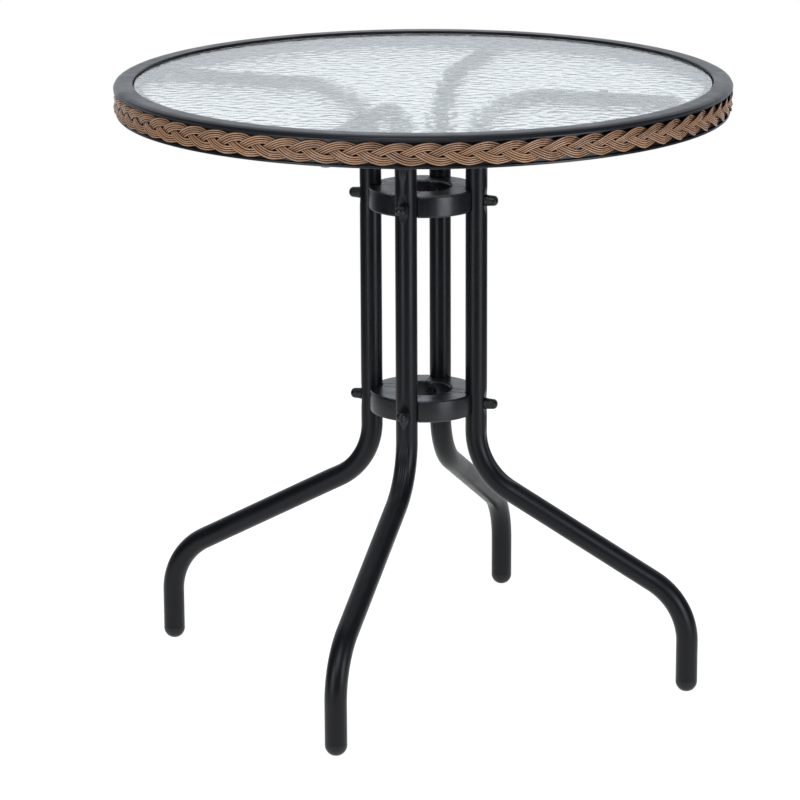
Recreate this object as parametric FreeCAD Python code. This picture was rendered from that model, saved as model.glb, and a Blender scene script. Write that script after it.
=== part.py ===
"""Round garden table: glass lay-in top, rolled rim with a plaited reed band,
four bent tube legs bolted to two spacer rings, domed foot glides.

Frame: origin on the floor under the middle of the table, +Z up, the legs on
+X (right), +Y (back), -X (left) and -Y (front). Lengths are millimetres.
"""
import FreeCAD, Part
import math
import os

V = FreeCAD.Vector
UP = V(0, 0, 1)
ORIGIN = V(0, 0, 0)

# Overall sizes
table_diameter = 711.2
table_height = 711.2
leg_names = ("right", "back", "left", "front")

# Rim: one strip of rolled steel sheet
rim_height = 36.0
rim_sheet = 1.5
rim_flat_width = 12.6
rim_shoulder_width = 9.6
rim_shoulder_drop = 6.5
rim_bead_height = 0.9
braid_channel_height = 25.6
braid_channel_depth = 6.6
rim_lip_width = 3.8
rim_flange_width = 14.5
glass_recess = 3.0
glass_ledge_width = 10.0
ledge_skirt_height = 9.0

# Glass pane
glass_thickness = 5.0
glass_edge_gap = 1.3
glass_arris = 0.6

# Plait of strands in the channel
braid_strand_count = 3
braid_period_count = 24
braid_step_count = 12
braid_depth = 6.3
braid_seat_gap = 0.1
braid_edge_gap = 0.25
braid_weave_depth = 2.03
weave_plateau_share = 0.24
strand_width = 9.5
strand_thickness = 2.0
strand_edge_thickness = 0.5
strand_lean = 1.3

# Leg tube
tube_diameter = 25.4
tube_wall = 1.2
post_circle_radius = 64.6
foot_inset = 32.6
splay_angle = 28.5
splay_top_height = 247.8
leg_bend_radius = 80.0
arm_bend_radius = 82.0
arm_glass_gap = 2.5
arm_flare_length = 30.0
arm_tongue_thickness = 5.0
arm_tongue_length = 23.0
arm_tongue_end_gap = 2.0
tongue_slit_thickness = 0.8
bolt_dent_depth = 2.2
bolt_dent_radius = 60.0

# Spacer rings
spacer_radius = 63.5
spacer_hole_radius = 31.5
spacer_thickness = 25.4
spacer_drop_from_arm = 116.0
spacer_rise_over_splay = 81.2
spacer_rim_fillet = 1.5
spacer_hole_fillet = 2.5
spacer_notch_clearance = 0.15
channel_line_spacing = 14.0
channel_line_width = 0.9
channel_line_depth = 0.4

# Fasteners through the rings
bolt_diameter = 6.0
bolt_clearance = 0.3
bolt_head_diameter = 11.5
bolt_head_height = 3.3
bolt_head_sink = 1.5
bolt_end_gap = 4.0
washer_diameter = 13.4
washer_thickness = 1.3
washer_seat_gap = 0.05
cap_nut_diameter = 13.4
cap_nut_length = 13.6
cap_nut_collar = 1.2
cap_nut_neck_depth = 0.2
cap_nut_taper = 0.5
cap_nut_end_radius = 5.0

# Fasteners under the rim
rim_screw_diameter = 6.0
rim_screw_head_diameter = 11.5
rim_screw_head_height = 3.3
rim_nut_across_flats = 10.0
rim_nut_height = 5.0
rim_screw_tip = 1.5
rim_screw_inset = 7.6

# Pads between the arms and the glass
pad_radius = 5.0
pad_circle_radius = 215.0
pad_glass_gap = 0.2

# Foot glides
glide_visible_height = 13.0
glide_flat_radius = 5.0
glide_stem_length = 16.0
glide_stem_clearance = 0.1

# Length by which a cutting tool runs past the faces it cuts
overrun = 2.0

# Values worked out from the sizes above
rim_radius = table_diameter / 2
rim_top = table_height
rim_bottom = rim_top - rim_height
shoulder_start_radius = rim_radius - rim_shoulder_width
opening_radius = shoulder_start_radius - rim_flat_width
bead_bottom = rim_top - rim_shoulder_drop - rim_bead_height
channel_bottom = bead_bottom - braid_channel_height
channel_radius = rim_radius - braid_channel_depth
lip_radius = channel_radius + rim_lip_width
flange_radius = channel_radius - rim_sheet - rim_flange_width
ledge_radius = opening_radius - glass_ledge_width
glass_top = rim_top - glass_recess
glass_bottom = glass_top - glass_thickness
glass_radius = opening_radius - glass_edge_gap
tube_radius = tube_diameter / 2
bore_radius = tube_radius - tube_wall
foot_circle_radius = rim_radius - foot_inset
arm_top = glass_bottom - arm_glass_gap
arm_centre_height = arm_top - tube_radius
spacer_upper_height = arm_centre_height - spacer_drop_from_arm
spacer_lower_height = splay_top_height + spacer_rise_over_splay
tongue_bottom = rim_bottom + rim_sheet
tongue_middle = tongue_bottom + arm_tongue_thickness / 2
tongue_end = channel_radius - rim_sheet - arm_tongue_end_gap
tongue_start = tongue_end - arm_tongue_length
flare_start = tongue_start - arm_flare_length
leg_bottom = glide_visible_height
post_outer_face = post_circle_radius + tube_radius
head_seat_radius = spacer_hole_radius + bolt_head_sink
washer_seat = (post_outer_face - bolt_dent_depth + washer_seat_gap
               + washer_diameter ** 2 / (8 * bolt_dent_radius))
nut_seat = washer_seat + washer_thickness
rim_screw_radius = tongue_end - rim_screw_inset
braid_swing = (braid_channel_height - strand_width) / 2 - braid_edge_gap
braid_middle_radius = channel_radius + braid_seat_gap + braid_depth / 2
braid_middle_height = bead_bottom - braid_channel_height / 2


def line(a, b):
    return Part.LineSegment(a, b).toShape()


def polyline(points):
    return [line(a, b) for a, b in zip(points, points[1:])]


def revolved(edges):
    """Solid of revolution about +Z of a closed profile drawn in the XZ plane."""
    return Part.Face(Part.Wire(edges)).revolve(ORIGIN, UP, 360)


def along_x(solid, start):
    """Turn a solid built up +Z so that it runs along +X from the given point."""
    turned = solid.copy()
    turned.rotate(ORIGIN, V(0, 1, 0), 90)
    turned.translate(start)
    return turned


def around_table(solid, count=4):
    """Copies of a solid at equal turns about the middle of the table."""
    copies = []
    for number in range(count):
        turned = solid.copy()
        turned.rotate(ORIGIN, UP, 360 * number / count)
        copies.append(turned)
    return copies


def rim_frame():
    """Rolled strip: ledge skirt, ledge, inner wall, flat top, shoulder, bead,
    channel wall, lower lip and bottom flange."""
    end_drop = V(rim_radius, 0, rim_top - rim_shoulder_drop)
    shoulder_radius = ((rim_shoulder_width ** 2 + rim_shoulder_drop ** 2)
                       / (2 * rim_shoulder_drop))
    half_turn = math.asin(rim_shoulder_width / shoulder_radius) / 2
    shoulder_middle = V(shoulder_start_radius + shoulder_radius * math.sin(half_turn), 0,
                        rim_top - shoulder_radius * (1 - math.cos(half_turn)))
    flat_end = V(shoulder_start_radius, 0, rim_top)
    ledge_underside = glass_bottom - rim_sheet
    inner_wall = opening_radius + rim_sheet
    wall_back = channel_radius - rim_sheet
    edges = [Part.Arc(flat_end, shoulder_middle, end_drop).toShape()]
    edges += polyline([
        end_drop,
        V(rim_radius, 0, bead_bottom),
        V(channel_radius, 0, bead_bottom),
        V(channel_radius, 0, channel_bottom),
        V(lip_radius, 0, channel_bottom),
        V(lip_radius, 0, rim_bottom),
        V(flange_radius, 0, rim_bottom),
        V(flange_radius, 0, rim_bottom + rim_sheet),
        V(wall_back, 0, rim_bottom + rim_sheet),
        V(wall_back, 0, rim_top - rim_sheet),
        V(inner_wall, 0, rim_top - rim_sheet),
        V(inner_wall, 0, ledge_underside),
        V(ledge_radius + rim_sheet, 0, ledge_underside),
        V(ledge_radius + rim_sheet, 0, ledge_underside - ledge_skirt_height),
        V(ledge_radius, 0, ledge_underside - ledge_skirt_height),
        V(ledge_radius, 0, glass_bottom),
        V(opening_radius, 0, glass_bottom),
        V(opening_radius, 0, rim_top),
        flat_end,
    ])
    rim = revolved(edges)
    hole = Part.makeCylinder(rim_screw_diameter / 2 + bolt_clearance, rim_sheet + 2 * overrun,
                             V(rim_screw_radius, 0, rim_bottom - overrun), UP)
    return rim.cut(Part.makeCompound(around_table(hole)))


def glass_pane():
    """Round pane with a small arris ground on both edges."""
    pane = Part.makeCylinder(glass_radius, glass_thickness, V(0, 0, glass_bottom), UP)
    rims = [edge for edge in pane.Edges if edge.Closed]
    return pane.makeChamfer(glass_arris, rims)


def strand_section(angle, phase):
    """Corners of one strand's flat section at an angle round the rim.

    In each period the strand swings up and down once and comes forward twice,
    with its depth held near its two ends by a small third harmonic. It leans
    so that the edge over a neighbour is forward and the edge under one is back.
    """
    turn = braid_period_count * angle + phase
    height = braid_middle_height + braid_swing * math.sin(turn)
    radius = braid_middle_radius + braid_weave_depth * (
        math.sin(2 * turn) + weave_plateau_share * math.sin(6 * turn))
    half_edge = strand_edge_thickness / 2
    half_middle = strand_thickness / 2
    outer = [(side, half) for side, half in ((1, half_edge), (0, half_middle), (-1, half_edge))]
    inner = [(side, -half) for side, half in reversed(outer)]
    corners = []
    for side, half in outer + inner:
        distance = radius + side * strand_lean * math.cos(turn) + half
        corners.append(V(distance * math.cos(angle), distance * math.sin(angle),
                         height + side * strand_width / 2))
    return corners


def braid_strand(number):
    """One strand of the plait, a closed loop of flat facets."""
    phase = 2 * math.pi * number / braid_strand_count
    steps = braid_period_count * braid_step_count
    sections = [strand_section(2 * math.pi * step / steps, phase) for step in range(steps)]
    faces = []
    for here, there in zip(sections, sections[1:] + sections[:1]):
        for corner in range(len(here)):
            after = (corner + 1) % len(here)
            a, b, c, d = here[corner], there[corner], there[after], here[after]
            faces.append(Part.Face(Part.makePolygon([a, b, c, a])))
            faces.append(Part.Face(Part.makePolygon([a, c, d, a])))
    solid = Part.Solid(Part.Shell(faces))
    if solid.Volume < 0:
        solid.reverse()
    return solid


def bent_path(points, radii):
    """Straight runs between the points, joined by tangent arcs of the radii."""
    edges = []
    start = points[0]
    for before, corner, after, radius in zip(points, points[1:], points[2:], radii):
        back = (before - corner).normalize()
        ahead = (after - corner).normalize()
        half_opening = back.getAngle(ahead) / 2
        trim = radius / math.tan(half_opening)
        bisector = (back + ahead).normalize()
        centre = corner + bisector * (radius / math.sin(half_opening))
        first = corner + back * trim
        last = corner + ahead * trim
        edges.append(line(start, first))
        edges.append(Part.Arc(first, centre - bisector * radius, last).toShape())
        start = last
    edges.append(line(start, points[-1]))
    return Part.Wire(edges)


def leg_path(bottom, end_radius):
    """Centre line of a leg in the XZ plane: foot, knee, splay, post and arm."""
    drop = (foot_circle_radius - post_circle_radius) * math.tan(math.radians(splay_angle))
    points = [V(foot_circle_radius, 0, bottom),
              V(foot_circle_radius, 0, splay_top_height - drop),
              V(post_circle_radius, 0, splay_top_height),
              V(post_circle_radius, 0, arm_centre_height),
              V(end_radius, 0, arm_centre_height)]
    return bent_path(points, (leg_bend_radius, leg_bend_radius, arm_bend_radius))


def round_section(distance, radius):
    """Circle across the arm as four arcs that match the flat section's edges."""
    def point(degrees):
        turn = math.radians(degrees)
        return V(distance, radius * math.cos(turn), arm_centre_height + radius * math.sin(turn))
    arcs = [(135, 90, 45), (45, 0, -45), (-45, -90, -135), (-135, -180, -225)]
    return Part.Wire([Part.Arc(point(a), point(b), point(c)).toShape() for a, b, c in arcs])


def flat_section(distance, width, thickness):
    """Flattened tube across the arm: two straight sides and two round ends."""
    side = (width - thickness) / 2
    half = thickness / 2
    top, bottom = tongue_middle + half, tongue_middle - half
    return Part.Wire([
        line(V(distance, -side, top), V(distance, side, top)),
        Part.Arc(V(distance, side, top), V(distance, width / 2, tongue_middle),
                 V(distance, side, bottom)).toShape(),
        line(V(distance, side, bottom), V(distance, -side, bottom)),
        Part.Arc(V(distance, -side, bottom), V(distance, -width / 2, tongue_middle),
                 V(distance, -side, top)).toShape()])


def flattened_width(radius, thickness):
    """Width of a tube of the radius pressed to a thickness, with its girth kept."""
    return thickness + math.pi * (2 * radius - thickness) / 2


def dent_tool(radius):
    """Cylinders across the post that press in its outer face at both bolts."""
    axis_distance = post_outer_face - bolt_dent_depth + bolt_dent_radius
    return Part.makeCompound([
        Part.makeCylinder(radius, tube_diameter,
                          V(axis_distance, -tube_radius, height), V(0, 1, 0))
        for height in (spacer_upper_height, spacer_lower_height)])


def leg():
    """Right-hand leg: bent hollow tube, dented at the bolts, with a flat tongue."""
    foot = V(foot_circle_radius, 0, leg_bottom)
    outer = leg_path(leg_bottom, flare_start).makePipeShell(
        [Part.Wire(Part.makeCircle(tube_radius, foot, UP))], True, False)
    bore = leg_path(leg_bottom, flare_start).makePipeShell(
        [Part.Wire(Part.makeCircle(bore_radius, foot, UP))], True, False)
    outer_width = flattened_width(tube_radius, arm_tongue_thickness)
    slit_width = flattened_width(bore_radius, tongue_slit_thickness)
    flare = Part.makeLoft([round_section(flare_start, tube_radius),
                           flat_section(tongue_start, outer_width, arm_tongue_thickness)],
                          True, True)
    flare_bore = Part.makeLoft([round_section(flare_start, bore_radius),
                                flat_section(tongue_start, slit_width, tongue_slit_thickness)],
                               True, True)
    tongue = Part.Face(flat_section(tongue_start, outer_width, arm_tongue_thickness)).extrude(
        V(arm_tongue_length, 0, 0))
    outer = outer.cut(dent_tool(bolt_dent_radius)).fuse([flare, tongue])
    bore = bore.cut(dent_tool(bolt_dent_radius + tube_wall)).fuse(flare_bore)
    hole_radius = bolt_diameter / 2 + bolt_clearance
    holes = [Part.makeCylinder(hole_radius, tube_diameter + 2 * overrun,
                               V(post_circle_radius - tube_radius - overrun, 0, height),
                               V(1, 0, 0))
             for height in (spacer_upper_height, spacer_lower_height)]
    holes.append(Part.makeCylinder(rim_screw_diameter / 2 + bolt_clearance,
                                   arm_tongue_thickness + 2 * overrun,
                                   V(rim_screw_radius, 0, tongue_bottom - overrun), UP))
    return outer.cut(bore).cut(holes)


def spacer_ring(height):
    """Moulded ring with a notch for each post, bolt bores and channel lines."""
    base = height - spacer_thickness / 2
    ring = Part.makeCylinder(spacer_radius, spacer_thickness, V(0, 0, base), UP)
    outer_edges = [edge for edge in ring.Edges if edge.Closed]
    ring = ring.makeFillet(spacer_rim_fillet, outer_edges)
    hole = Part.makeCylinder(spacer_hole_radius, spacer_thickness, V(0, 0, base), UP)
    ring = ring.cut(hole)
    middle_radius = (spacer_hole_radius + spacer_radius) / 2
    hole_edges = [edge for edge in ring.Edges
                  if edge.Closed and edge.BoundBox.XMax < middle_radius]
    ring = ring.makeFillet(spacer_hole_fillet, hole_edges)
    notch = Part.makeCylinder(tube_radius + spacer_notch_clearance, spacer_thickness,
                              V(post_circle_radius, 0, base), UP)
    tool_start = spacer_hole_radius - overrun
    bore = Part.makeCylinder(bolt_diameter / 2 + bolt_clearance, spacer_radius - tool_start,
                             V(tool_start, 0, height), V(1, 0, 0))
    head_seat = Part.makeCylinder(bolt_head_diameter / 2 + bolt_clearance,
                                  bolt_head_sink + overrun, V(tool_start, 0, height),
                                  V(1, 0, 0))
    top = base + spacer_thickness
    lines = [Part.makeBox(spacer_radius - tool_start, channel_line_width,
                          channel_line_depth + overrun,
                          V(tool_start, side * channel_line_spacing / 2 - channel_line_width / 2,
                            top - channel_line_depth))
             for side in (-1, 1)]
    for tool in [notch, bore, head_seat] + lines:
        ring = ring.cut(around_table(tool))
    return ring


def ring_bolt(height):
    """Pan-head bolt from the ring's hole out through the post."""
    head = Part.makeCylinder(bolt_head_diameter / 2, bolt_head_height)
    rim_edge = [edge for edge in head.Edges
                if edge.Closed and edge.BoundBox.ZMax < bolt_head_height / 2]
    head = head.makeFillet(bolt_head_height / 2, rim_edge)
    length = nut_seat + cap_nut_length - bolt_end_gap - head_seat_radius
    shank = Part.makeCylinder(bolt_diameter / 2, length, V(0, 0, bolt_head_height), UP)
    return along_x(head.fuse(shank), V(head_seat_radius - bolt_head_height, 0, height))


def ring_washer(height):
    """Flat washer in the dent of the post."""
    disc = Part.makeCylinder(washer_diameter / 2, washer_thickness)
    hole = Part.makeCylinder(bolt_diameter / 2 + bolt_clearance, washer_thickness)
    return along_x(disc.cut(hole), V(washer_seat, 0, height))


def cap_nut(height):
    """Cap nut: collar, waist and tapered body with a domed end, bored for the bolt."""
    radius = cap_nut_diameter / 2
    neck = radius - cap_nut_neck_depth
    hole = bolt_diameter / 2 + bolt_clearance
    hole_depth = cap_nut_length - bolt_end_gap + bolt_clearance
    end_flat = neck - cap_nut_taper - cap_nut_end_radius
    end_start = V(neck - cap_nut_taper, 0, cap_nut_length - cap_nut_end_radius)
    end_middle = V(end_flat + cap_nut_end_radius * math.sin(math.radians(45)), 0,
                   end_start.z + cap_nut_end_radius * math.sin(math.radians(45)))
    end_finish = V(end_flat, 0, cap_nut_length)
    edges = polyline([V(hole, 0, 0), V(radius, 0, 0), V(radius, 0, cap_nut_collar),
                      V(neck, 0, cap_nut_collar + cap_nut_neck_depth), end_start])
    edges.append(Part.Arc(end_start, end_middle, end_finish).toShape())
    edges += polyline([end_finish, V(0, 0, cap_nut_length), V(0, 0, hole_depth),
                       V(hole, 0, hole_depth), V(hole, 0, 0)])
    return along_x(revolved(edges), V(nut_seat, 0, height))


def rim_screw():
    """Pan-head screw up through the rim flange and the arm's tongue."""
    head = Part.makeCylinder(rim_screw_head_diameter / 2, rim_screw_head_height,
                             V(rim_screw_radius, 0, rim_bottom - rim_screw_head_height), UP)
    low_edge = [edge for edge in head.Edges
                if edge.Closed and edge.BoundBox.ZMax < rim_bottom - rim_screw_head_height / 2]
    head = head.makeFillet(rim_screw_head_height / 2, low_edge)
    length = rim_sheet + arm_tongue_thickness + rim_nut_height + rim_screw_tip
    shank = Part.makeCylinder(rim_screw_diameter / 2, length,
                              V(rim_screw_radius, 0, rim_bottom), UP)
    return head.fuse(shank)


def rim_nut():
    """Hexagon nut on top of the arm's tongue."""
    base = tongue_bottom + arm_tongue_thickness
    corner = rim_nut_across_flats / math.sqrt(3)
    points = [V(rim_screw_radius + corner * math.cos(math.radians(60 * side)),
                corner * math.sin(math.radians(60 * side)), base) for side in range(6)]
    prism = Part.Face(Part.makePolygon(points + points[:1])).extrude(UP * rim_nut_height)
    hole = Part.makeCylinder(rim_screw_diameter / 2 + bolt_clearance, rim_nut_height,
                             V(rim_screw_radius, 0, base), UP)
    return prism.cut(hole)


def glass_pad():
    """Rubber pad saddled on an arm, just under the glass."""
    saddle_depth = tube_radius - math.sqrt(tube_radius ** 2 - pad_radius ** 2)
    base = arm_top - saddle_depth
    pad = Part.makeCylinder(pad_radius, glass_bottom - pad_glass_gap - base,
                            V(pad_circle_radius, 0, base), UP)
    arm = Part.makeCylinder(tube_radius, 2 * (pad_radius + overrun),
                            V(pad_circle_radius - pad_radius - overrun, 0, arm_centre_height),
                            V(1, 0, 0))
    return pad.cut(arm)


def foot_glide():
    """Domed plug with a small flat to stand on and a stem inside the tube."""
    stem_radius = bore_radius - glide_stem_clearance
    stem_top = glide_visible_height + glide_stem_length
    dome_centre = math.sqrt(tube_radius ** 2 - glide_flat_radius ** 2)
    middle_turn = (math.acos(dome_centre / tube_radius) + math.pi / 2) / 2
    dome_middle = V(tube_radius * math.sin(middle_turn), 0,
                    dome_centre - tube_radius * math.cos(middle_turn))
    edges = [line(ORIGIN, V(glide_flat_radius, 0, 0)),
             Part.Arc(V(glide_flat_radius, 0, 0), dome_middle,
                      V(tube_radius, 0, dome_centre)).toShape()]
    edges += polyline([V(tube_radius, 0, dome_centre), V(tube_radius, 0, glide_visible_height),
                       V(stem_radius, 0, glide_visible_height), V(stem_radius, 0, stem_top),
                       V(0, 0, stem_top), ORIGIN])
    glide = revolved(edges)
    glide.translate(V(foot_circle_radius, 0, 0))
    return glide


def parts():
    """Every node's name and shape."""
    nodes = {"rim_frame": rim_frame(), "glass_pane": glass_pane()}
    for number in range(braid_strand_count):
        nodes[f"braid_strand_{number + 1}"] = braid_strand(number)
    for name, tube, glide in zip(leg_names, around_table(leg()), around_table(foot_glide())):
        nodes[f"leg_{name}"] = tube
        nodes[f"foot_glide_{name}"] = glide
    for level, height in (("upper", spacer_upper_height), ("lower", spacer_lower_height)):
        nodes[f"spacer_ring_{level}"] = spacer_ring(height)
        nodes[f"ring_bolts_{level}"] = Part.makeCompound(around_table(ring_bolt(height)))
        nodes[f"washers_{level}"] = Part.makeCompound(around_table(ring_washer(height)))
        nodes[f"cap_nuts_{level}"] = Part.makeCompound(around_table(cap_nut(height)))
    nodes["rim_screws"] = Part.makeCompound(around_table(rim_screw()))
    nodes["rim_nuts"] = Part.makeCompound(around_table(rim_nut()))
    nodes["glass_pads"] = Part.makeCompound(around_table(glass_pad()))
    return nodes


os.makedirs("parts", exist_ok=True)
for node_name, shape in parts().items():
    shape.exportStep(f"parts/{node_name}.step")
    print(node_name, "solids", len(shape.Solids), "valid", shape.isValid(),
          "volume", round(shape.Volume / 1000, 2), "cm3")
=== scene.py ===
import math

import bmesh
import bpy
import numpy as np
from mathutils import Matrix


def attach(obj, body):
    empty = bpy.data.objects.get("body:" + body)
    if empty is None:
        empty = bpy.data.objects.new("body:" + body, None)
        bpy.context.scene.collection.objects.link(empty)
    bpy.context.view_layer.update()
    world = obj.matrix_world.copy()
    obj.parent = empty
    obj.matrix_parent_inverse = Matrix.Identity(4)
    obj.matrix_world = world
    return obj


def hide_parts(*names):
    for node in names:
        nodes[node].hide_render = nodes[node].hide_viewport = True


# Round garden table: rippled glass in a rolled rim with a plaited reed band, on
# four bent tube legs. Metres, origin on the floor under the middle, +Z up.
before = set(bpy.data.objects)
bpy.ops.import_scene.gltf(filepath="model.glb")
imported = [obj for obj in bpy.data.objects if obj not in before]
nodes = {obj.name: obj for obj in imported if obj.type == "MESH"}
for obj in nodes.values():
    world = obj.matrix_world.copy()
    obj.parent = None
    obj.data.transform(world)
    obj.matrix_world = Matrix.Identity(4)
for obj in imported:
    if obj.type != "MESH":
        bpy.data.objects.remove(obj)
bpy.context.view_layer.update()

MM = 0.001
# Each leg's turn from +X, in degrees
LEG_TURNS = {"right": 0, "back": 90, "left": 180, "front": 270}

# Overall sizes, as in the CAD frame, but with the channel's top 1 mm higher
rim_top = 711.2 * MM
rim_bottom = 675.2 * MM
rim_radius = 355.6 * MM
channel_radius = 349.0 * MM
channel_top = 704.8 * MM
channel_bottom = 678.2 * MM
opening_radius = 333.4 * MM
ledge_radius = 323.4 * MM
flange_radius = 333.0 * MM
lip_radius = 352.8 * MM
skirt_bottom = 692.7 * MM
sheet = 1.5 * MM
glass_top = 708.2 * MM
glass_bottom = 703.2 * MM
glass_radius = 332.1 * MM
tube_radius = 12.7 * MM
post_circle = 64.6 * MM
foot_circle = 323.0 * MM
foot_end = 13.0 * MM
splay_top = 247.8 * MM
arm_height = 688.0 * MM
arm_end = 345.5 * MM
tongue_height = 679.2 * MM
ring_heights = {"upper": 572.0 * MM, "lower": 329.0 * MM}
ring_radius = 63.5 * MM
ring_hole_radius = 31.5 * MM
ring_thickness = 25.4 * MM
bend_radius = 80.0 * MM
arm_bend_radius = 82.0 * MM

# The pane was drawn through its rollers with their axis turned this far from X.
roller_turn = math.radians(16)

# Shapes

def quads(grid):
    """Faces of a grid, and the place of their corners in the UV map."""
    points, rows_loop, columns_loop, along, across = grid
    rows, columns = points.shape[:2]
    row = np.arange(rows if rows_loop else rows - 1)[:, None]
    column = np.arange(columns if columns_loop else columns - 1)[None, :]
    next_row = (row + 1) % rows
    next_column = (column + 1) % columns
    faces = np.stack(np.broadcast_arrays(
        row * columns + column, next_row * columns + column,
        next_row * columns + next_column, row * columns + next_column), -1)
    corners = ((row, column), (row + 1, column), (row + 1, column + 1), (row, column + 1))
    uvs = np.stack([np.stack(np.broadcast_arrays(along[r], across[c]), -1) for r, c in corners], -2)
    return faces.reshape(-1, 4), uvs.reshape(-1, 2)


def merged(name, grids, smooth_angle=40.0):
    """One closed mesh from several quad grids.

    Each grid is (points, rows_loop, columns_loop, along, across), with points
    of shape (rows, columns, 3). along and across are the real lengths at the
    rows and columns and become the UV map. Doubled points are merged and all
    faces are turned outwards.
    """
    all_points, all_faces, all_uvs = [], [], []
    start = 0
    for grid in grids:
        points = grid[0].reshape(-1, 3)
        faces, uvs = quads(grid)
        all_points.append(points)
        all_faces.append(faces + start)
        all_uvs.append(uvs)
        start += len(points)
    mesh = bpy.data.meshes.new(name)
    mesh.from_pydata(np.concatenate(all_points).tolist(), [], np.concatenate(all_faces).tolist())
    layer = mesh.uv_layers.new(name="UVMap")
    layer.data.foreach_set("uv", np.concatenate(all_uvs).astype(np.float32).ravel())
    cleaned = bmesh.new()
    cleaned.from_mesh(mesh)
    bmesh.ops.remove_doubles(cleaned, verts=cleaned.verts, dist=1e-6)
    bmesh.ops.recalc_face_normals(cleaned, faces=cleaned.faces)
    cleaned.to_mesh(mesh)
    cleaned.free()
    mesh.shade_smooth()
    mesh.set_sharp_from_angle(angle=math.radians(smooth_angle))
    made = bpy.data.objects.new(name, mesh)
    bpy.context.scene.collection.objects.link(made)
    return made


def lengths(points):
    """Distance run along a line of points, from 0."""
    steps = np.linalg.norm(np.diff(points, axis=0), axis=1)
    return np.concatenate([[0.0], np.cumsum(steps)])


def rounded(corners, trims, steps=6):
    """Closed outline with every corner cut back by its trim and bridged by a
    quadratic curve: (1-s)^2 start + 2s(1-s) corner + s^2 end."""
    corners = np.asarray(corners, float)
    trims = np.asarray(trims, float)[:, None]
    back = np.roll(corners, 1, axis=0) - corners
    ahead = np.roll(corners, -1, axis=0) - corners
    starts = corners + back / np.linalg.norm(back, axis=1)[:, None] * trims
    ends = corners + ahead / np.linalg.norm(ahead, axis=1)[:, None] * trims
    s = np.linspace(0, 1, steps)[None, :, None]
    curve = (1 - s) ** 2 * starts[:, None] + 2 * s * (1 - s) * corners[:, None] + s ** 2 * ends[:, None]
    return curve.reshape(-1, 2)


def turned(outline, steps=480):
    """Grid of an outline of radius and height carried round the middle."""
    angle = np.linspace(0, 2 * math.pi, steps, endpoint=False)[:, None]
    radius, height = outline[None, :, 0], outline[None, :, 1]
    return np.stack(np.broadcast_arrays(
        radius * np.cos(angle), radius * np.sin(angle), height), -1)


def rim():
    """Rolled rim: a strip outline with bent corners, carried once round. A groove
    parts its shoulder from the bead over the channel."""
    # Radius and height of the shoulder's top and foot, the groove and the bead.
    shoulder = np.array([(350.2, 711.2), (354.3, 709.1), (354.8, 706.9), (355.6, 706.4)]) * MM
    corners = np.array([
        *shoulder, (rim_radius, channel_top),
        (channel_radius, channel_top), (channel_radius, channel_bottom),
        (lip_radius, channel_bottom), (lip_radius, rim_bottom),
        (flange_radius, rim_bottom), (flange_radius, rim_bottom + sheet),
        (channel_radius - sheet, rim_bottom + sheet), (channel_radius - sheet, rim_top - sheet),
        (opening_radius + sheet, rim_top - sheet), (opening_radius + sheet, glass_bottom - sheet),
        (ledge_radius + sheet, glass_bottom - sheet), (ledge_radius + sheet, skirt_bottom),
        (ledge_radius, skirt_bottom), (ledge_radius, glass_bottom),
        (opening_radius, glass_bottom), (opening_radius, rim_top)])
    trims = np.array([2.4, 1.3, 0.4, 0.4, 0.5, 0.5, 0.5, 0.6, 1.3, 0.3, 0.3, 1.0, 1.0,
                      1.0, 0.5, 0.5, 0.3, 0.3, 1.2, 0.5, 1.1]) * MM
    outline = rounded(corners, trims)
    points = turned(outline)
    run = np.linspace(0, 2 * math.pi * rim_radius, points.shape[0] + 1)
    closed = np.concatenate([outline, outline[:1]])
    return merged("rim_rolled", [(points, True, True, run, lengths(closed))])


def ripple_height(x, y):
    """Sum of plane waves 12 to 20 mm long, about -1 to 1, whose crests lie more
    along the rollers than across them: sin(k (x cos t + y sin t) + p) for each."""
    waves = 28
    spread = 0.8
    shortest = 12.0
    longest = 20.0
    draw = np.random.default_rng(11)
    turn = roller_turn + math.pi / 2 + draw.normal(0.0, spread, waves)
    wave = 2 * math.pi / (draw.uniform(shortest, longest, waves) * MM)
    shift = draw.uniform(0, 2 * math.pi, waves)
    total = np.zeros_like(x)
    for t, k, p in zip(turn, wave, shift):
        total += np.sin(k * (x * math.cos(t) + y * math.sin(t)) + p)
    return total / math.sqrt(waves)


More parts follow.
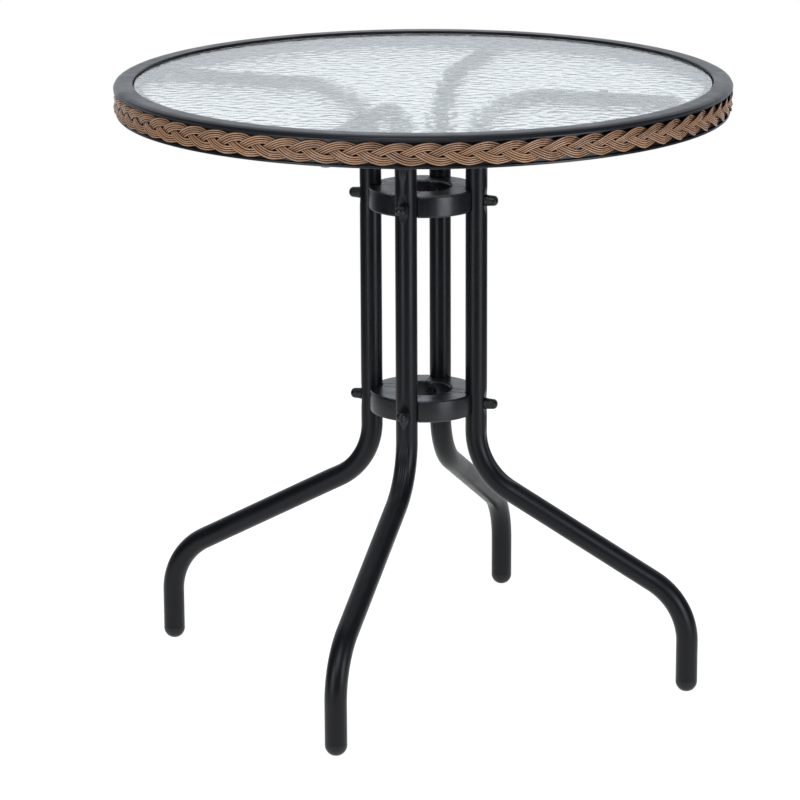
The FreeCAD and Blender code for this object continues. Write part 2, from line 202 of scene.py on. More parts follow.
def glass(cells=284, depth=0.15 * MM, arris=0.6 * MM, margin=12 * MM):
    """Pane: a flat disc above, a ground edge, and a rippled face below.

    The lower face is a square grid pressed to a disc, x = u sqrt(1 - v^2/2) and
    y = v sqrt(1 - u^2/2), cut upwards by depth * (1 + tanh(ripple)) from its
    lowest plane, so the pane keeps its thickness. The cut fades out in the margin.
    """
    side = np.linspace(-1, 1, cells + 1)
    u, v = np.meshgrid(side, side, indexing="ij")
    flat_radius = glass_radius - arris
    x = flat_radius * u * np.sqrt(1 - v ** 2 / 2)
    y = flat_radius * v * np.sqrt(1 - u ** 2 / 2)
    fade = np.clip((flat_radius - np.hypot(x, y)) / margin, 0, 1)
    hollow = depth * (1 + np.tanh(ripple_height(x, y))) * fade
    bottom = np.stack([x, y, glass_bottom + hollow], -1)
    ends = np.arange(cells)
    loop_u = np.concatenate([ends, np.full(cells, cells), cells - ends, np.zeros(cells, int)])
    loop_v = np.concatenate([np.zeros(cells, int), ends, np.full(cells, cells), cells - ends])
    edge = bottom[loop_u, loop_v, :2]
    out = edge / np.linalg.norm(edge, axis=1)[:, None]
    profile = [(-flat_radius, glass_top), (0, glass_top), (arris, glass_top - arris),
               (arris, glass_bottom + arris), (0, glass_bottom)]
    band = np.stack([np.concatenate([edge + out * grow, np.full((len(edge), 1), height)], 1)
                     for grow, height in profile], 1)
    lattice = (side + 1) * glass_radius
    girth = np.linspace(0, 2 * math.pi * glass_radius, len(edge) + 1)
    return merged("glass_rippled", [
        (bottom, False, False, lattice, lattice),
        (band, True, False, girth, lengths(np.array(profile)))],
        smooth_angle=30.0)


# Plait: three strands of four half-round reeds each
periods = 24
band_radius = 352.3 * MM
band_height = (channel_top + channel_bottom) / 2
reeds_per_strand = 4
reed_pitch = 2.34 * MM
reed_width = 2.3 * MM
reed_thickness = 1.6 * MM
reed_step = 20 * MM
strand_half = reeds_per_strand * reed_pitch / 2
strand_swing = 8.0 * MM
weave_depth = 2.0 * MM
strand_lean = 1.19 * MM
reed_wander = 0.09 * MM
reed_lift = 0.18 * MM


def reed_section():
    """Outline of a reed on its flat: a slightly full half ellipse on short steep
    flanks, and the distance run along it. The crown is at half the dome's length."""
    flank = 0.22
    fullness = 0.8
    foot = 0.42 * reed_width
    dome = np.linspace(0, math.pi, 9)
    bulge = reed_thickness * (flank + (1 - flank) * np.sin(dome) ** fullness)
    across = np.concatenate([reed_width / 2 * np.cos(dome), [-foot, 0, foot]])
    rise = np.concatenate([bulge, [0, 0, 0]])
    outline = np.stack([np.append(across, across[0]), np.append(rise, rise[0])], -1)
    return across, rise, lengths(outline)


reed_crown = reed_section()[2][4]


def strand(number, steps=40):
    """Reeds side by side along one strand.

    Along the rim the strand's middle is swing * sin(turn) high, with turn going
    round once in each period, and weave * (sin 2 turn + 0.2 sin 6 turn) deep, so
    it is in front on its way out from the middle and behind on its way back. A
    reed keeps its distance from the middle square to that line, and the strand
    leans by lean * cos(turn). Each reed wanders sideways in slow waves and lies a
    little higher or lower than the next. In the UV map it has a strip of its own.
    """
    rows = periods * steps
    angle = np.linspace(0, 2 * math.pi, rows, endpoint=False)[:, None]
    turn = periods * angle + 2 * math.pi * number / 3
    slope = strand_swing * periods / band_radius * np.cos(turn)
    square = np.sqrt(1 + slope ** 2)
    across, rise, girth = reed_section()
    along = np.linspace(0, 2 * math.pi * band_radius, rows + 1)
    draw = np.random.default_rng(40 + number)
    grids = []
    for reed in range(reeds_per_strand):
        wander = np.zeros_like(angle)
        for wave in (7, 19, 31, 53):
            wander += draw.uniform(-1, 1) * np.sin(wave * angle + draw.uniform(0, 2 * math.pi))
        place = (reed + 0.5) * reed_pitch - strand_half
        offset = place + across[None, :] + wander * reed_wander
        lift = draw.uniform(-reed_lift, reed_lift)
        run = band_radius * angle - offset * slope / square
        height = band_height + strand_swing * np.sin(turn) + offset / square
        radius = (band_radius - reed_thickness / 2 + rise[None, :] + lift
                  + weave_depth * (np.sin(2 * turn) + 0.2 * np.sin(6 * turn))
                  + strand_lean * offset / strand_half * np.cos(turn))
        bent = run / band_radius
        points = np.stack([radius * np.cos(bent), radius * np.sin(bent), height], -1)
        strip = girth + reed_step * (reed + 1 + reeds_per_strand * number)
        grids.append((points, True, True, along, strip))
    return merged(f"reed_strand_{number + 1}", grids)


def spacer_ring(level, steps=720):
    """Moulded ring: a rounded section carried round the middle.

    At an angle t from the nearest post the ring reaches out to its radius, or to the
    post's notch, circle * cos t - sqrt(notch^2 - (circle * sin t)^2), if that is less.
    On top two channel lines run 7 mm each side of the post's middle line, each
    depth * exp(-d^4) deep, with d the distance from the line in half widths.
    """
    hole_round = 2.8 * MM
    rim_round = 2.6 * MM
    notch_gap = 0.2 * MM
    line_aside = 7.0 * MM
    line_half_width = 0.45 * MM
    line_depth = 0.4 * MM
    line_reach = 0.5 * MM
    bend_steps = 8
    flat_steps = 14
    half = ring_thickness / 2
    corners = [(ring_hole_radius, -half), (ring_hole_radius, half), (ring_radius, half),
               (ring_radius, -half)]
    bends = rounded(corners, [hole_round, hole_round, rim_round, rim_round], bend_steps)
    inner_half, outer_half = bends[:2 * bend_steps], bends[2 * bend_steps:]
    flat = np.linspace(inner_half[-1], outer_half[0], flat_steps)[1:-1]
    section = np.concatenate([inner_half, flat, outer_half])
    angle = np.linspace(0, 2 * math.pi, steps, endpoint=False)[:, None]
    off = (angle + math.pi / 4) % (math.pi / 2) - math.pi / 4
    notch_radius = tube_radius + notch_gap
    aside = post_circle * np.sin(off)
    notch = post_circle * np.cos(off) - np.sqrt(np.clip(notch_radius ** 2 - aside ** 2, 0, None))
    reach = np.where(np.abs(aside) < notch_radius, np.minimum(ring_radius, notch), ring_radius)
    radius, rise = section[None, :, 0], section[None, :, 1]
    outwards = np.clip((radius - inner_half[-1, 0]) / (outer_half[0, 0] - inner_half[-1, 0]), 0, 1)
    radius = radius + outwards * (reach - ring_radius)
    from_line = (np.abs(radius * np.sin(off)) - line_aside) / line_half_width
    on_top = np.clip((rise - half) / line_reach + 1, 0, 1)
    height = ring_heights[level] + rise - line_depth * np.exp(-from_line ** 4) * on_top
    points = np.stack([radius * np.cos(angle), radius * np.sin(angle), height], -1)
    run = np.linspace(0, 2 * math.pi * ring_radius, steps + 1)
    closed = np.concatenate([section, section[:1]])
    return merged(f"moulded_ring_{level}", [(points, True, True, run, lengths(closed))],
                  smooth_angle=30.0)


def leg_line():
    """Middle line of a leg in radius and height, with its tangent.

    Straight runs meet in arcs: foot, knee, splay, post and arm. An arc is
    middle + spoke * cos(turn) + side * radius * sin(turn).
    """
    splay = math.radians(28.5)
    straight_step = 1.5 * MM
    arc_step = 2.0 * MM
    drop = (foot_circle - post_circle) * math.tan(splay)
    corners = np.array([(foot_circle, foot_end), (foot_circle, splay_top - drop),
                        (post_circle, splay_top), (post_circle, arm_height),
                        (arm_end, arm_height)])
    bends = np.array([bend_radius, bend_radius, arm_bend_radius])
    pieces = []
    start = corners[0]
    for before, corner, after, bend in zip(corners, corners[1:], corners[2:], bends):
        back = (before - corner) / np.linalg.norm(before - corner)
        ahead = (after - corner) / np.linalg.norm(after - corner)
        half = math.acos(back @ ahead) / 2
        first = corner + back * bend / math.tan(half)
        middle = corner + (back + ahead) / np.linalg.norm(back + ahead) * bend / math.sin(half)
        sweep = math.pi - 2 * half
        count = int(sweep * bend / arc_step) + 1
        turn = np.linspace(0, sweep, count + 1)[:, None]
        spoke = first - middle
        side = -back
        arc = middle + spoke * np.cos(turn) + side * bend * np.sin(turn)
        count = int(np.linalg.norm(first - start) / straight_step) + 1
        pieces.append(start + (first - start) * np.linspace(0, 1, count, endpoint=False)[:, None])
        pieces.append(arc[:-1])
        start = arc[-1]
    count = int(np.linalg.norm(corners[-1] - start) / straight_step) + 1
    pieces.append(start + (corners[-1] - start) * np.linspace(0, 1, count + 1)[:, None])
    line = np.concatenate(pieces)
    tangent = np.gradient(line, lengths(line), axis=0)
    return line, tangent / np.linalg.norm(tangent, axis=1)[:, None]


def soft_min(a, b, blend):
    """Smaller of two values, rounded off within the blend."""
    mix = np.clip(0.5 + 0.5 * (b - a) / blend, 0, 1)
    return b + (a - b) * mix - blend * mix * (1 - mix)


def bend_share(line, tangent, spread):
    """How far each point lies in a bend that opens outwards, 0 to 1: the turn of
    the line, averaged under a bell of the given spread."""
    run = lengths(line)
    turn = np.unwrap(np.arctan2(tangent[:, 1], tangent[:, 0]))
    bent = np.clip(-np.gradient(turn, run) * bend_radius, 0, 1)
    bell = np.exp(-((run[:, None] - run[None, :]) / spread) ** 2) * np.gradient(run)[None, :]
    return (bell @ bent / bell.sum(1))[:, None]


# What the bends and the bolts press into a tube blends into it over this depth.
press_blend = 0.6 * MM


def bend_hollow(line, tangent, sideways, phase):
    """Pressed flat on the inside of the upper and lower bends, with fine lengthwise
    folds: depth * sin(2 pi (sideways + sway) / pitch). The sway is two slow waves, 0.9
    and 0.5 mm wide, with another phase on each leg."""
    press_depth = 1.5 * MM
    press_spread = 16 * MM
    fold_depth = 0.17 * MM
    fold_pitch = 2.6 * MM
    run = lengths(line)[:, None]
    bent = bend_share(line, tangent, press_spread)
    sway = 0.9 * np.sin(run / (14 * MM) + phase) + 0.5 * np.sin(run / (6.1 * MM) + 2 * phase)
    folds = fold_depth * np.sin(2 * math.pi * (sideways + sway * MM) / fold_pitch)
    return tube_radius + press_blend - (press_depth + press_blend) * bent - folds * bent ** 2


def bolt_hollow(line, height):
    """Dent of the post at a bolt, tube radius - depth + above^2 / (2 dent radius), and
    the points of the line that it reaches."""
    dent_depth = 2.2 * MM
    dent_radius = 60.0 * MM
    dent_reach = 25 * MM
    above = line[:, 1:] - height
    on_post = np.abs(line[:, :1] - post_circle) < 0.5 * MM
    hollow = tube_radius - dent_depth + above ** 2 / (2 * dent_radius)
    return hollow, on_post & (np.abs(above) < dent_reach)


def tongue(line, across, outward, sideways):
    """Section closed from a circle to a flat slot with nine tenths of its girth, and
    how far it sinks. Over 30 mm the tube closes, and the last 23 mm of the arm are flat."""
    flare_start = 292.5 * MM
    flare_length = 30.0 * MM
    slot_half = 2.5 * MM
    slot_side = 17.2 * MM
    slot_roundness = 0.6
    on_arm = line[:, 1:] > 600 * MM
    flat = np.where(on_arm, np.clip((line[:, :1] - flare_start) / flare_length, 0, 1), 0)
    flat = flat * flat * (3 - 2 * flat)
    squared = np.sign(np.cos(across)) * np.abs(np.cos(across)) ** slot_roundness
    outward = outward * (1 - flat) + slot_half * squared * flat
    sideways = sideways * (1 - flat) + slot_side * np.sin(across) * flat
    return outward, sideways, (arm_height - tongue_height) * flat


def leg(name, columns=96):
    """Tube swept along the leg line and flattened to a tongue under the rim.

    Its outward side is the softer minimum of the round tube and of the hollows that
    its bends and bolts leave. The columns crowd together there.
    """
    crowding = 0.55
    line, tangent = leg_line()
    around = np.linspace(0, 2 * math.pi, columns, endpoint=False)[None, :]
    across = around - crowding * np.sin(around)
    along_line = np.ones((len(line), 1))
    outward = tube_radius * np.cos(across) * along_line
    sideways = tube_radius * np.sin(across) * along_line
    turn = LEG_TURNS[name]
    outward = soft_min(outward, bend_hollow(line, tangent, sideways, turn), press_blend)
    for height in ring_heights.values():
        hollow, near = bolt_hollow(line, height)
        outward = np.where(near, soft_min(outward, hollow, press_blend), outward)
    outward, sideways, sink = tongue(line, across, outward, sideways)
    # On the arm the section's outward side points down, towards the tongue.
    normal = np.stack([tangent[:, 1], -tangent[:, 0]], -1)
    radius = line[:, :1] + normal[:, :1] * outward
    height = line[:, 1:] + normal[:, 1:] * outward - sink
    angle = math.radians(turn)
    x = radius * math.cos(angle) - sideways * math.sin(angle)
    y = radius * math.sin(angle) + sideways * math.cos(angle)
    points = np.stack([x, y, height], -1)
    # Each end closes on its middle point.
    first = np.broadcast_to(points[:1].mean(1, keepdims=True), (1, columns, 3))
    last = np.broadcast_to(points[-1:].mean(1, keepdims=True), (1, columns, 3))
    points = np.concatenate([first, points, last])
    run = lengths(line)
    run = np.concatenate([run[:1], run, run[-1:]])
    girth = np.linspace(0, 2 * math.pi * tube_radius, columns + 1)
    return merged(f"leg_tube_{name}", [(points, False, True, run, girth)])


# Materials

def linear(colour):
    """Linear colour of an sRGB hex value."""
    channels = [int(colour[i:i + 2], 16) / 255 for i in (1, 3, 5)]
    return [c / 12.92 if c <= 0.04045 else ((c + 0.055) / 1.055) ** 2.4 for c in channels] + [1.0]


def add(tree, kind, inputs=None, **settings):
    """Adds a node with its settings; an input takes a value or another node's output."""
    node = tree.nodes.new(kind)
    for name, value in settings.items():
        setattr(node, name, value)
    for name, value in (inputs or {}).items():
        if isinstance(value, bpy.types.NodeSocket):
            tree.links.new(value, node.inputs[name])
        else:
            node.inputs[name].default_value = value
    return node


def finish_for(name):
    """Empty material with its shader and output."""
    material = bpy.data.materials.new(name)
    material.use_nodes = True
    tree = material.node_tree
    tree.nodes.clear()
    shader = add(tree, "ShaderNodeBsdfPrincipled")
    add(tree, "ShaderNodeOutputMaterial", {"Surface": shader.outputs[0]})
    return material, tree, shader


def powder_coat(name, dark, pale, shine):
    """Black polyester powder coat, baked on steel: satin, with a faint orange peel.
    Its matting filler holds the shine under that of bare resin, 0.5."""
    material, tree, shader = finish_for(name)
    where = add(tree, "ShaderNodeTexCoord").outputs["Object"]
    shader.inputs["IOR"].default_value = 1.5
    shader.inputs["Specular IOR Level"].default_value = shine
    # Patches of thicker and thinner coat, about 60 mm across.
    patches = add(tree, "ShaderNodeTexNoise", {"Vector": where, "Scale": 1 / (60 * MM), "Detail": 3.0})
    share = add(tree, "ShaderNodeMapRange", {"Value": patches.outputs["Fac"], "From Min": 0.3,
                                             "From Max": 0.7})
    colour = add(tree, "ShaderNodeMix", {0: share.outputs["Result"], 6: linear(dark), 7: linear(pale)},
                 data_type="RGBA")
    tree.links.new(colour.outputs[2], shader.inputs["Base Color"])
    # Cleaning rubs it in patches of about 25 mm.
    rub = add(tree, "ShaderNodeTexNoise", {"Vector": where, "Scale": 1 / (25 * MM), "Detail": 3.0})
    satin = add(tree, "ShaderNodeMapRange", {"Value": rub.outputs["Fac"], "From Min": 0.3,
                                             "From Max": 0.7, "To Min": 0.3, "To Max": 0.4})
    tree.links.new(satin.outputs["Result"], shader.inputs["Roughness"])
    # Orange peel is about 1.5 mm across; it is drawn at 3 mm so that it shows.
    peel = add(tree, "ShaderNodeTexNoise", {"Vector": where, "Scale": 1 / (3 * MM), "Detail": 1.0})
    bump = add(tree, "ShaderNodeBump", {"Strength": 0.12, "Distance": 0.1 * MM,
                                        "Height": peel.outputs["Fac"]})
    tree.links.new(bump.outputs[0], shader.inputs["Normal"])
    return material


def extruded_reed():
    """Resin wicker: half-round polyethylene reed, drawn through a die, so it has
    soft colour streaks along its length and a waxy shine; its flanks carry painted shade
    and its crown a painted highlight."""
    material, tree, shader = finish_for("extruded_resin_reed")
    uv = add(tree, "ShaderNodeTexCoord").outputs["UV"]
    shader.inputs["IOR"].default_value = 1.5
    # Die streaks are 0.3 mm wide; they are drawn 1 mm wide and 50 mm long so that they show.
    drawn = add(tree, "ShaderNodeMapping", {"Vector": uv, "Scale": (1 / (50 * MM), 1 / (1 * MM), 1)})
    streaks = add(tree, "ShaderNodeTexNoise", {"Vector": drawn.outputs[0], "Scale": 1.0, "Detail": 2.0})
    # Each reed, and each stretch of about 90 mm, has its own tone.
    strips = add(tree, "ShaderNodeMapping", {"Vector": uv, "Scale": (1 / (90 * MM), 1 / (13 * MM), 1)})
    tones = add(tree, "ShaderNodeTexNoise", {"Vector": strips.outputs[0], "Scale": 1.0, "Detail": 2.0})
    tone = add(tree, "ShaderNodeMapRange", {"Value": tones.outputs["Fac"], "From Min": 0.38,
                                            "From Max": 0.62})
    body = add(tree, "ShaderNodeMix", {0: tone.outputs["Result"], 6: linear("#683c21"),
                                       7: linear("#a06d45")}, data_type="RGBA")
    light = add(tree, "ShaderNodeMapRange", {"Value": streaks.outputs["Fac"], "From Min": 0.45,
                                             "From Max": 0.75, "To Max": 0.35})
    lined = add(tree, "ShaderNodeMix", {0: light.outputs["Result"], 6: body.outputs[2],
                                        7: linear("#c49b75")}, data_type="RGBA")
    # By the distance from the crown, in the reed's own strip of the map, the crown is
    # painted paler as a painted highlight and the flanks are painted dark as painted shade.
    split = add(tree, "ShaderNodeSeparateXYZ", {0: uv})
    strip = add(tree, "ShaderNodeMath", {0: split.outputs["Y"], 1: reed_step}, operation="MODULO")
    side = add(tree, "ShaderNodeMath", {0: strip.outputs[0], 1: reed_crown}, operation="SUBTRACT")
    reach = add(tree, "ShaderNodeMath", {0: side.outputs[0]}, operation="ABSOLUTE")
    # Painted highlight: a paler stripe along each reed's crown.
    painted_crown_highlight = add(tree, "ShaderNodeMapRange", {"Value": reach.outputs[0], "From Min": 0.05 * reed_crown,
                                              "From Max": 0.3 * reed_crown,
                                              "To Min": 0.55, "To Max": 0.0})
    crown_highlighted = add(tree, "ShaderNodeMix", {0: painted_crown_highlight.outputs["Result"], 6: lined.outputs[2],
                                          7: linear("#d9bda1")}, data_type="RGBA")
    # Painted shade: the flanks are painted dark, where the creases between reeds fall in shade.
    flank = add(tree, "ShaderNodeMapRange", {"Value": reach.outputs[0], "From Min": 0.42 * reed_crown,
                                             "From Max": 0.66 * reed_crown})
    shaded = add(tree, "ShaderNodeMix", {0: flank.outputs["Result"], 6: crown_highlighted.outputs[2],
                                         7: linear("#4e2c16")}, data_type="RGBA")
    tree.links.new(shaded.outputs[2], shader.inputs["Base Color"])
    waxy = add(tree, "ShaderNodeMapRange", {"Value": streaks.outputs["Fac"], "From Min": 0.3,
                                            "From Max": 0.7, "To Min": 0.18, "To Max": 0.3})
    tree.links.new(waxy.outputs["Result"], shader.inputs["Roughness"])
    bump = add(tree, "ShaderNodeBump", {"Strength": 0.3, "Distance": 0.1 * MM,
                                        "Height": streaks.outputs["Fac"]})
    tree.links.new(bump.outputs[0], shader.inputs["Normal"])
    return material


def rippled_glass():
    """Tempered soda-lime glass, its face rolled with a ripple of shallow domes: pale
    blue-green and clear, so dark things under it are soft grey bands. Each dome has a
    painted grey side of shade and a painted white side of highlight, seen as short glints."""
    material, tree, shader = finish_for("rolled_rippled_glass")
    where = add(tree, "ShaderNodeTexCoord").outputs["Object"]
    shader.inputs["IOR"].default_value = 1.52
    shader.inputs["Transmission Weight"].default_value = 0.9
    shader.inputs["Roughness"].default_value = 0.08
    # Domes are about 18 mm long along the rollers and 14 mm across, in bent rows.
    size = (1 / (18 * MM), 1 / (14 * MM), 1 / (14 * MM))
    lattice = add(tree, "ShaderNodeMapping", {"Vector": where, "Rotation": (0, 0, -roller_turn),
                                              "Scale": size})
    wander = add(tree, "ShaderNodeTexNoise", {"Vector": lattice.outputs[0], "Scale": 0.9,
                                              "Detail": 1.0})
    near = add(tree, "ShaderNodeVectorMath", {0: wander.outputs["Color"], 1: (1.6, 1.6, 0),
                                              2: lattice.outputs[0]}, operation="MULTIPLY_ADD")
    far = add(tree, "ShaderNodeVectorMath", {0: near.outputs[0], 1: (0, 0.15, 0)}, operation="ADD")
    dome = add(tree, "ShaderNodeTexVoronoi", {"Vector": near.outputs[0], "Scale": 1.0,
                                              "Smoothness": 0.25},
               feature="SMOOTH_F1", voronoi_dimensions="2D")
    beside = add(tree, "ShaderNodeTexVoronoi", {"Vector": far.outputs[0], "Scale": 1.0,
                                                "Smoothness": 0.25},
                 feature="SMOOTH_F1", voronoi_dimensions="2D")
    # A dome's steepness is the difference of its height over 2 mm across the rollers; by it one side of
    # each dome gets painted shade and the other a painted highlight.
    steep = add(tree, "ShaderNodeMath", {0: dome.outputs["Distance"], 1: beside.outputs["Distance"]},
                operation="SUBTRACT")
    # Painted shade: the grey side of each dome.
    grey = add(tree, "ShaderNodeMapRange", {"Value": steep.outputs[0], "From Min": 0.07,
                                            "From Max": 0.14})
    # Painted highlight: the white side of each dome, seen as short glints.
    white = add(tree, "ShaderNodeMapRange", {"Value": steep.outputs[0], "From Min": -0.04,
                                             "From Max": -0.12})
    shaded = add(tree, "ShaderNodeMix", {0: grey.outputs["Result"], 6: linear("#f8ffff"),
                                         7: linear("#d4e3e4")}, data_type="RGBA")
    painted_glint = add(tree, "ShaderNodeMix", {0: white.outputs["Result"], 6: shaded.outputs[2],
                                           7: linear("#ffffff")}, data_type="RGBA")
    tree.links.new(painted_glint.outputs[2], shader.inputs["Base Color"])
    bump = add(tree, "ShaderNodeBump", {"Strength": 1.0, "Distance": 0.18 * MM,
                                        "Height": dome.outputs["Distance"]}, invert=True)
    tree.links.new(bump.outputs[0], shader.inputs["Normal"])
    return material


def clear_glass():
    """The same glass under its upper face: clear and faintly green, as its edge shows."""
    material, tree, shader = finish_for("clear_rolled_glass")
    where = add(tree, "ShaderNodeTexCoord").outputs["Object"]
    shader.inputs["IOR"].default_value = 1.52
    shader.inputs["Transmission Weight"].default_value = 1.0
    shader.inputs["Roughness"].default_value = 0.05
    melt = add(tree, "ShaderNodeTexNoise", {"Vector": where, "Scale": 1 / (40 * MM), "Detail": 2.0})
    share = add(tree, "ShaderNodeMapRange", {"Value": melt.outputs["Fac"], "From Min": 0.3,
                                             "From Max": 0.7})
    tint = add(tree, "ShaderNodeMix", {0: share.outputs["Result"], 6: linear("#f7fdfc"),
                                       7: linear("#fbffff")}, data_type="RGBA")
    tree.links.new(tint.outputs[2], shader.inputs["Base Color"])
    return material


def moulded_plastic(name, colour, shine, rough_low, rough_high, grain):
    """Injection-moulded black polypropylene or polyethylene: a satin skin with the fine
    spark grain of its mould."""
    material, tree, shader = finish_for(name)
    where = add(tree, "ShaderNodeTexCoord").outputs["Object"]
    shader.inputs["IOR"].default_value = 1.49
    shader.inputs["Specular IOR Level"].default_value = shine
    shader.inputs["Base Color"].default_value = linear(colour)
    # Handling rubs it in patches of about 12 mm.
    rub = add(tree, "ShaderNodeTexNoise", {"Vector": where, "Scale": 1 / (12 * MM), "Detail": 3.0})
    matt = add(tree, "ShaderNodeMapRange", {"Value": rub.outputs["Fac"], "From Min": 0.3,
                                            "From Max": 0.7, "To Min": rough_low, "To Max": rough_high})
    tree.links.new(matt.outputs["Result"], shader.inputs["Roughness"])
    # Spark grain is about 0.1 mm; it is drawn at the coarser grain given, so that it shows.
    sparks = add(tree, "ShaderNodeTexNoise", {"Vector": where, "Scale": 1 / grain, "Detail": 2.0})
    bump = add(tree, "ShaderNodeBump", {"Strength": 0.15, "Distance": 0.06 * MM,
                                        "Height": sparks.outputs["Fac"]})
    tree.links.new(bump.outputs[0], shader.inputs["Normal"])
    return material


def plated_steel(name, dark, pale, rough_low, rough_high):
    """Zinc-plated or blackened steel: metal, faintly mottled where the bath bit deeper."""
    material, tree, shader = finish_for(name)
    where = add(tree, "ShaderNodeTexCoord").outputs["Object"]
    shader.inputs["Metallic"].default_value = 1.0
    # The mottle is finer on real steel; it is drawn at 2 mm so that it shows.
    mottle = add(tree, "ShaderNodeTexNoise", {"Vector": where, "Scale": 1 / (2 * MM), "Detail": 3.0})
    share = add(tree, "ShaderNodeMapRange", {"Value": mottle.outputs["Fac"], "From Min": 0.3,
                                             "From Max": 0.7})
    colour = add(tree, "ShaderNodeMix", {0: share.outputs["Result"], 6: linear(dark), 7: linear(pale)},
                 data_type="RGBA")
    tree.links.new(colour.outputs[2], shader.inputs["Base Color"])
    rough = add(tree, "ShaderNodeMapRange", {"Value": mottle.outputs["Fac"], "From Min": 0.3,
                                             "From Max": 0.7, "To Min": rough_low,
                                             "To Max": rough_high})
    tree.links.new(rough.outputs["Result"], shader.inputs["Roughness"])
    return material


def pad_rubber():
    """Black rubber pad: matt, with a dusty bloom."""
    material, tree, shader = finish_for("black_rubber")
    where = add(tree, "ShaderNodeTexCoord").outputs["Object"]
    shader.inputs["IOR"].default_value = 1.52
    shader.inputs["Roughness"].default_value = 0.8
    # Dust lies in spots of about 3 mm.
    dust = add(tree, "ShaderNodeTexNoise", {"Vector": where, "Scale": 1 / (3 * MM), "Detail": 3.0})
    share = add(tree, "ShaderNodeMapRange", {"Value": dust.outputs["Fac"], "From Min": 0.3,
                                             "From Max": 0.7})
    bloom = add(tree, "ShaderNodeMix", {0: share.outputs["Result"], 6: linear("#17181a"),
                                        7: linear("#2a2b2d")}, data_type="RGBA")
    tree.links.new(bloom.outputs[2], shader.inputs["Base Color"])
    return material


def dress(node_names, material):
    """Gives CAD nodes a material."""
    for name in node_names:
        nodes[name].data.materials.clear()
        nodes[name].data.materials.append(material)


# Pieces

coat_rim = powder_coat("satin_powder_coat_rim", "#121316", "#1a1b1f", 0.42)
coat_tube = powder_coat("satin_powder_coat_tube", "#09090c", "#0f0f13", 0.25)
reed = extruded_reed()
pane = (rippled_glass(), clear_glass())
ring_plastic = moulded_plastic("moulded_polypropylene_ring", "#101114", 0.5, 0.26, 0.36, 1.2 * MM)
cap_plastic = moulded_plastic("moulded_polypropylene_cap", "#0e0e10", 0.35, 0.3, 0.4, 1.0 * MM)
glide_plastic = moulded_plastic("moulded_polyethylene_glide", "#121315", 0.35, 0.38, 0.5, 1.2 * MM)
zinc = plated_steel("zinc_plated_steel", "#8b8f92", "#a9adb0", 0.3, 0.45)
black_zinc = plated_steel("black_zinc_plated_steel", "#222427", "#34363a", 0.35, 0.5)
blackened = plated_steel("black_oxide_steel", "#141518", "#222326", 0.35, 0.5)
rubber = pad_rubber()

rim_piece = rim()
rim_piece.data.materials.append(coat_rim)
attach(rim_piece, "table_frame")
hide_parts("rim_frame")

for number in range(3):
    woven = strand(number)
    woven.data.materials.append(reed)
    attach(woven, "table_frame")
    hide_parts(f"braid_strand_{number + 1}")

for name in LEG_TURNS:
    tube = leg(name)
    tube.data.materials.append(coat_tube)
    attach(tube, "table_frame")
    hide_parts(f"leg_{name}")

for level in ring_heights:
    ring = spacer_ring(level)
    ring.data.materials.append(ring_plastic)
    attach(ring, "table_frame")
    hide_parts(f"spacer_ring_{level}")

glass_piece = glass()
for finish in pane:
    glass_piece.data.materials.append(finish)
facing = np.zeros(3 * len(glass_piece.data.polygons))
glass_piece.data.polygons.foreach_get("normal", facing)
below = (facing[2::3] < 0.5).astype(np.int32)
glass_piece.data.polygons.foreach_set("material_index", below)
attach(glass_piece, "glass_top")
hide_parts("glass_pane")

dress([f"cap_nuts_{level}" for level in ring_heights], cap_plastic)
dress([f"foot_glide_{name}" for name in LEG_TURNS], glide_plastic)
dress([f"washers_{level}" for level in ring_heights], black_zinc)
dress([f"ring_bolts_{level}" for level in ring_heights], blackened)
dress(["rim_screws", "rim_nuts"], zinc)
dress(["glass_pads"], rubber)

# Floor, light and camera

scene = bpy.context.scene
scene.view_settings.view_transform = "Standard"
camera_azimuth = math.radians(17.89)
daylight_colour = "#f1f7ff"


def floor(reach=1.3, corners=96, own_light=0.9):
    """Round pale studio floor; part of its white comes from its own light, so shadows
    stay soft and its edge runs into the white behind it."""
    angle = np.linspace(0, 2 * math.pi, corners, endpoint=False)
    edge = np.stack([reach * np.cos(angle), reach * np.sin(angle), np.zeros(corners)], -1)
    mesh = bpy.data.meshes.new("floor")
    mesh.from_pydata(edge.tolist(), [], [list(range(corners))])
    made = bpy.data.objects.new("floor", mesh)
    scene.collection.objects.link(made)
    material, tree, shader = finish_for("studio_floor")
    shader.inputs["Base Color"].default_value = linear("#959595")
    shader.inputs["Roughness"].default_value = 0.9
    shader.inputs["Specular IOR Level"].default_value = 0.0
    shader.inputs["Emission Color"].default_value = (1, 1, 1, 1)
    # It glows where it is seen, directly, in a reflection or through glass.
    path = add(tree, "ShaderNodeLightPath").outputs
    first = add(tree, "ShaderNodeMath", {0: path["Is Camera Ray"], 1: path["Is Glossy Ray"]},
                operation="MAXIMUM")
    seen = add(tree, "ShaderNodeMath", {0: first.outputs[0], 1: path["Is Transmission Ray"]},
               operation="MAXIMUM")
    glow = add(tree, "ShaderNodeMath", {0: seen.outputs[0], 1: own_light}, operation="MULTIPLY")
    tree.links.new(glow.outputs[0], shader.inputs["Emission Strength"])
    mesh.materials.append(material)


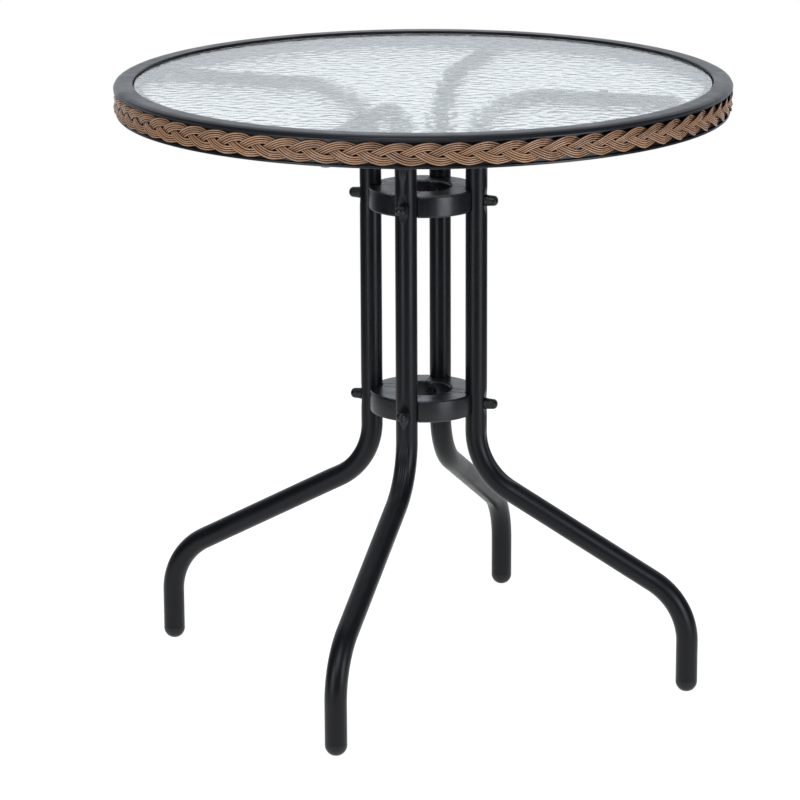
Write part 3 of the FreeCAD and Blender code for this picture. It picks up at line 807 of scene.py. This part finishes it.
def daylight():
    """World: white where it is seen, a softer white where it lights. In a reflection
    the backdrop behind the table is white, and the ceiling and the room in front are dim."""
    world = bpy.data.worlds.new("studio")
    world.use_nodes = True
    tree = world.node_tree
    tree.nodes.clear()
    lighting = 0.45
    path = add(tree, "ShaderNodeLightPath").outputs
    towards = add(tree, "ShaderNodeTexCoord").outputs["Generated"]
    # Direction of the backdrop's middle, straight behind the table and 18 degrees up.
    backdrop = (-0.95 * math.sin(camera_azimuth), 0.95 * math.cos(camera_azimuth), 0.31)
    behind = add(tree, "ShaderNodeVectorMath", {0: towards, 1: backdrop}, operation="DOT_PRODUCT")
    room = add(tree, "ShaderNodeMapRange", {"Value": behind.outputs["Value"], "From Min": 0.4,
                                            "From Max": 0.85, "To Min": 0.12})
    reflected = add(tree, "ShaderNodeMix", {0: path["Is Glossy Ray"], 2: lighting,
                                            3: room.outputs["Result"]})
    direct = add(tree, "ShaderNodeMath", {0: path["Is Camera Ray"], 1: path["Is Transmission Ray"]},
                 operation="MAXIMUM")
    strength = add(tree, "ShaderNodeMix", {0: direct.outputs[0], 2: reflected.outputs[0], 3: 1.0})
    colour = add(tree, "ShaderNodeMix", {0: direct.outputs[0], 6: linear(daylight_colour),
                                         7: (1, 1, 1, 1)}, data_type="RGBA")
    back = add(tree, "ShaderNodeBackground", {"Color": colour.outputs[2],
                                              "Strength": strength.outputs[0]})
    add(tree, "ShaderNodeOutputWorld", {"Surface": back.outputs[0]})
    scene.world = world


def softbox(name, azimuth, width, strength):
    """Soft lamp 1.2 m away, from 0.1 to 0.7 m high, that faces the table's middle;
    azimuth 0 is in front and 90 to the right. Strength 1 is as bright as a white wall.
    It ends lower than the pane, so the pane doesn't mirror it, and glass doesn't show it."""
    distance = 1.2
    low = 0.1
    high = 0.7
    lamp = bpy.data.lights.new(name, "AREA")
    lamp.shape = "RECTANGLE"
    lamp.size = width
    lamp.size_y = high - low
    lamp.energy = strength * math.pi * width * (high - low)
    lamp.color = linear(daylight_colour)[:3]
    made = bpy.data.objects.new(name, lamp)
    turn = math.radians(azimuth)
    made.location = (distance * math.sin(turn), -distance * math.cos(turn), (low + high) / 2)
    made.rotation_euler = (math.radians(90), 0, turn)
    made.visible_camera = False
    made.visible_transmission = False
    scene.collection.objects.link(made)


def sun(name, azimuth, elevation, strength, spread):
    """Broad lamp from a direction; azimuth 0 comes from the front and 90 from the right."""
    lamp = bpy.data.lights.new(name, "SUN")
    lamp.energy = strength
    lamp.color = linear(daylight_colour)[:3]
    lamp.angle = math.radians(spread)
    made = bpy.data.objects.new(name, lamp)
    made.rotation_euler = (math.radians(90 - elevation), 0, math.radians(azimuth))
    scene.collection.objects.link(made)


def camera():
    """Camera 4 m away and 1.4 m high, 18 degrees round to the right, looking down 15
    degrees, with the table a little right of the picture's middle."""
    distance = 4.0
    height = 1.416
    pitch = 0.2658
    roll = -0.0046
    picture_width = 800
    focal_pixels = 3516
    aim_left = 24.7 / focal_pixels
    lens = bpy.data.cameras.new("camera")
    lens.sensor_width = 36.0
    lens.lens = focal_pixels / picture_width * lens.sensor_width
    lens.clip_end = 200
    made = bpy.data.objects.new("camera", lens)
    scene.collection.objects.link(made)
    place = (distance * math.sin(camera_azimuth), -distance * math.cos(camera_azimuth), height)
    made.matrix_world = (
        Matrix.Translation(place)
        @ Matrix.Rotation(camera_azimuth + aim_left, 4, "Z")
        @ Matrix.Rotation(math.pi / 2 - pitch, 4, "X")
        @ Matrix.Rotation(roll, 4, "Z"))
    scene.camera = made


floor()
daylight()
softbox("left_softbox", -18, 0.4, 4.2)
softbox("right_softbox", 63, 0.5, 5.0)
sun("key_light", 8, 46, 1.0, 34)
camera()
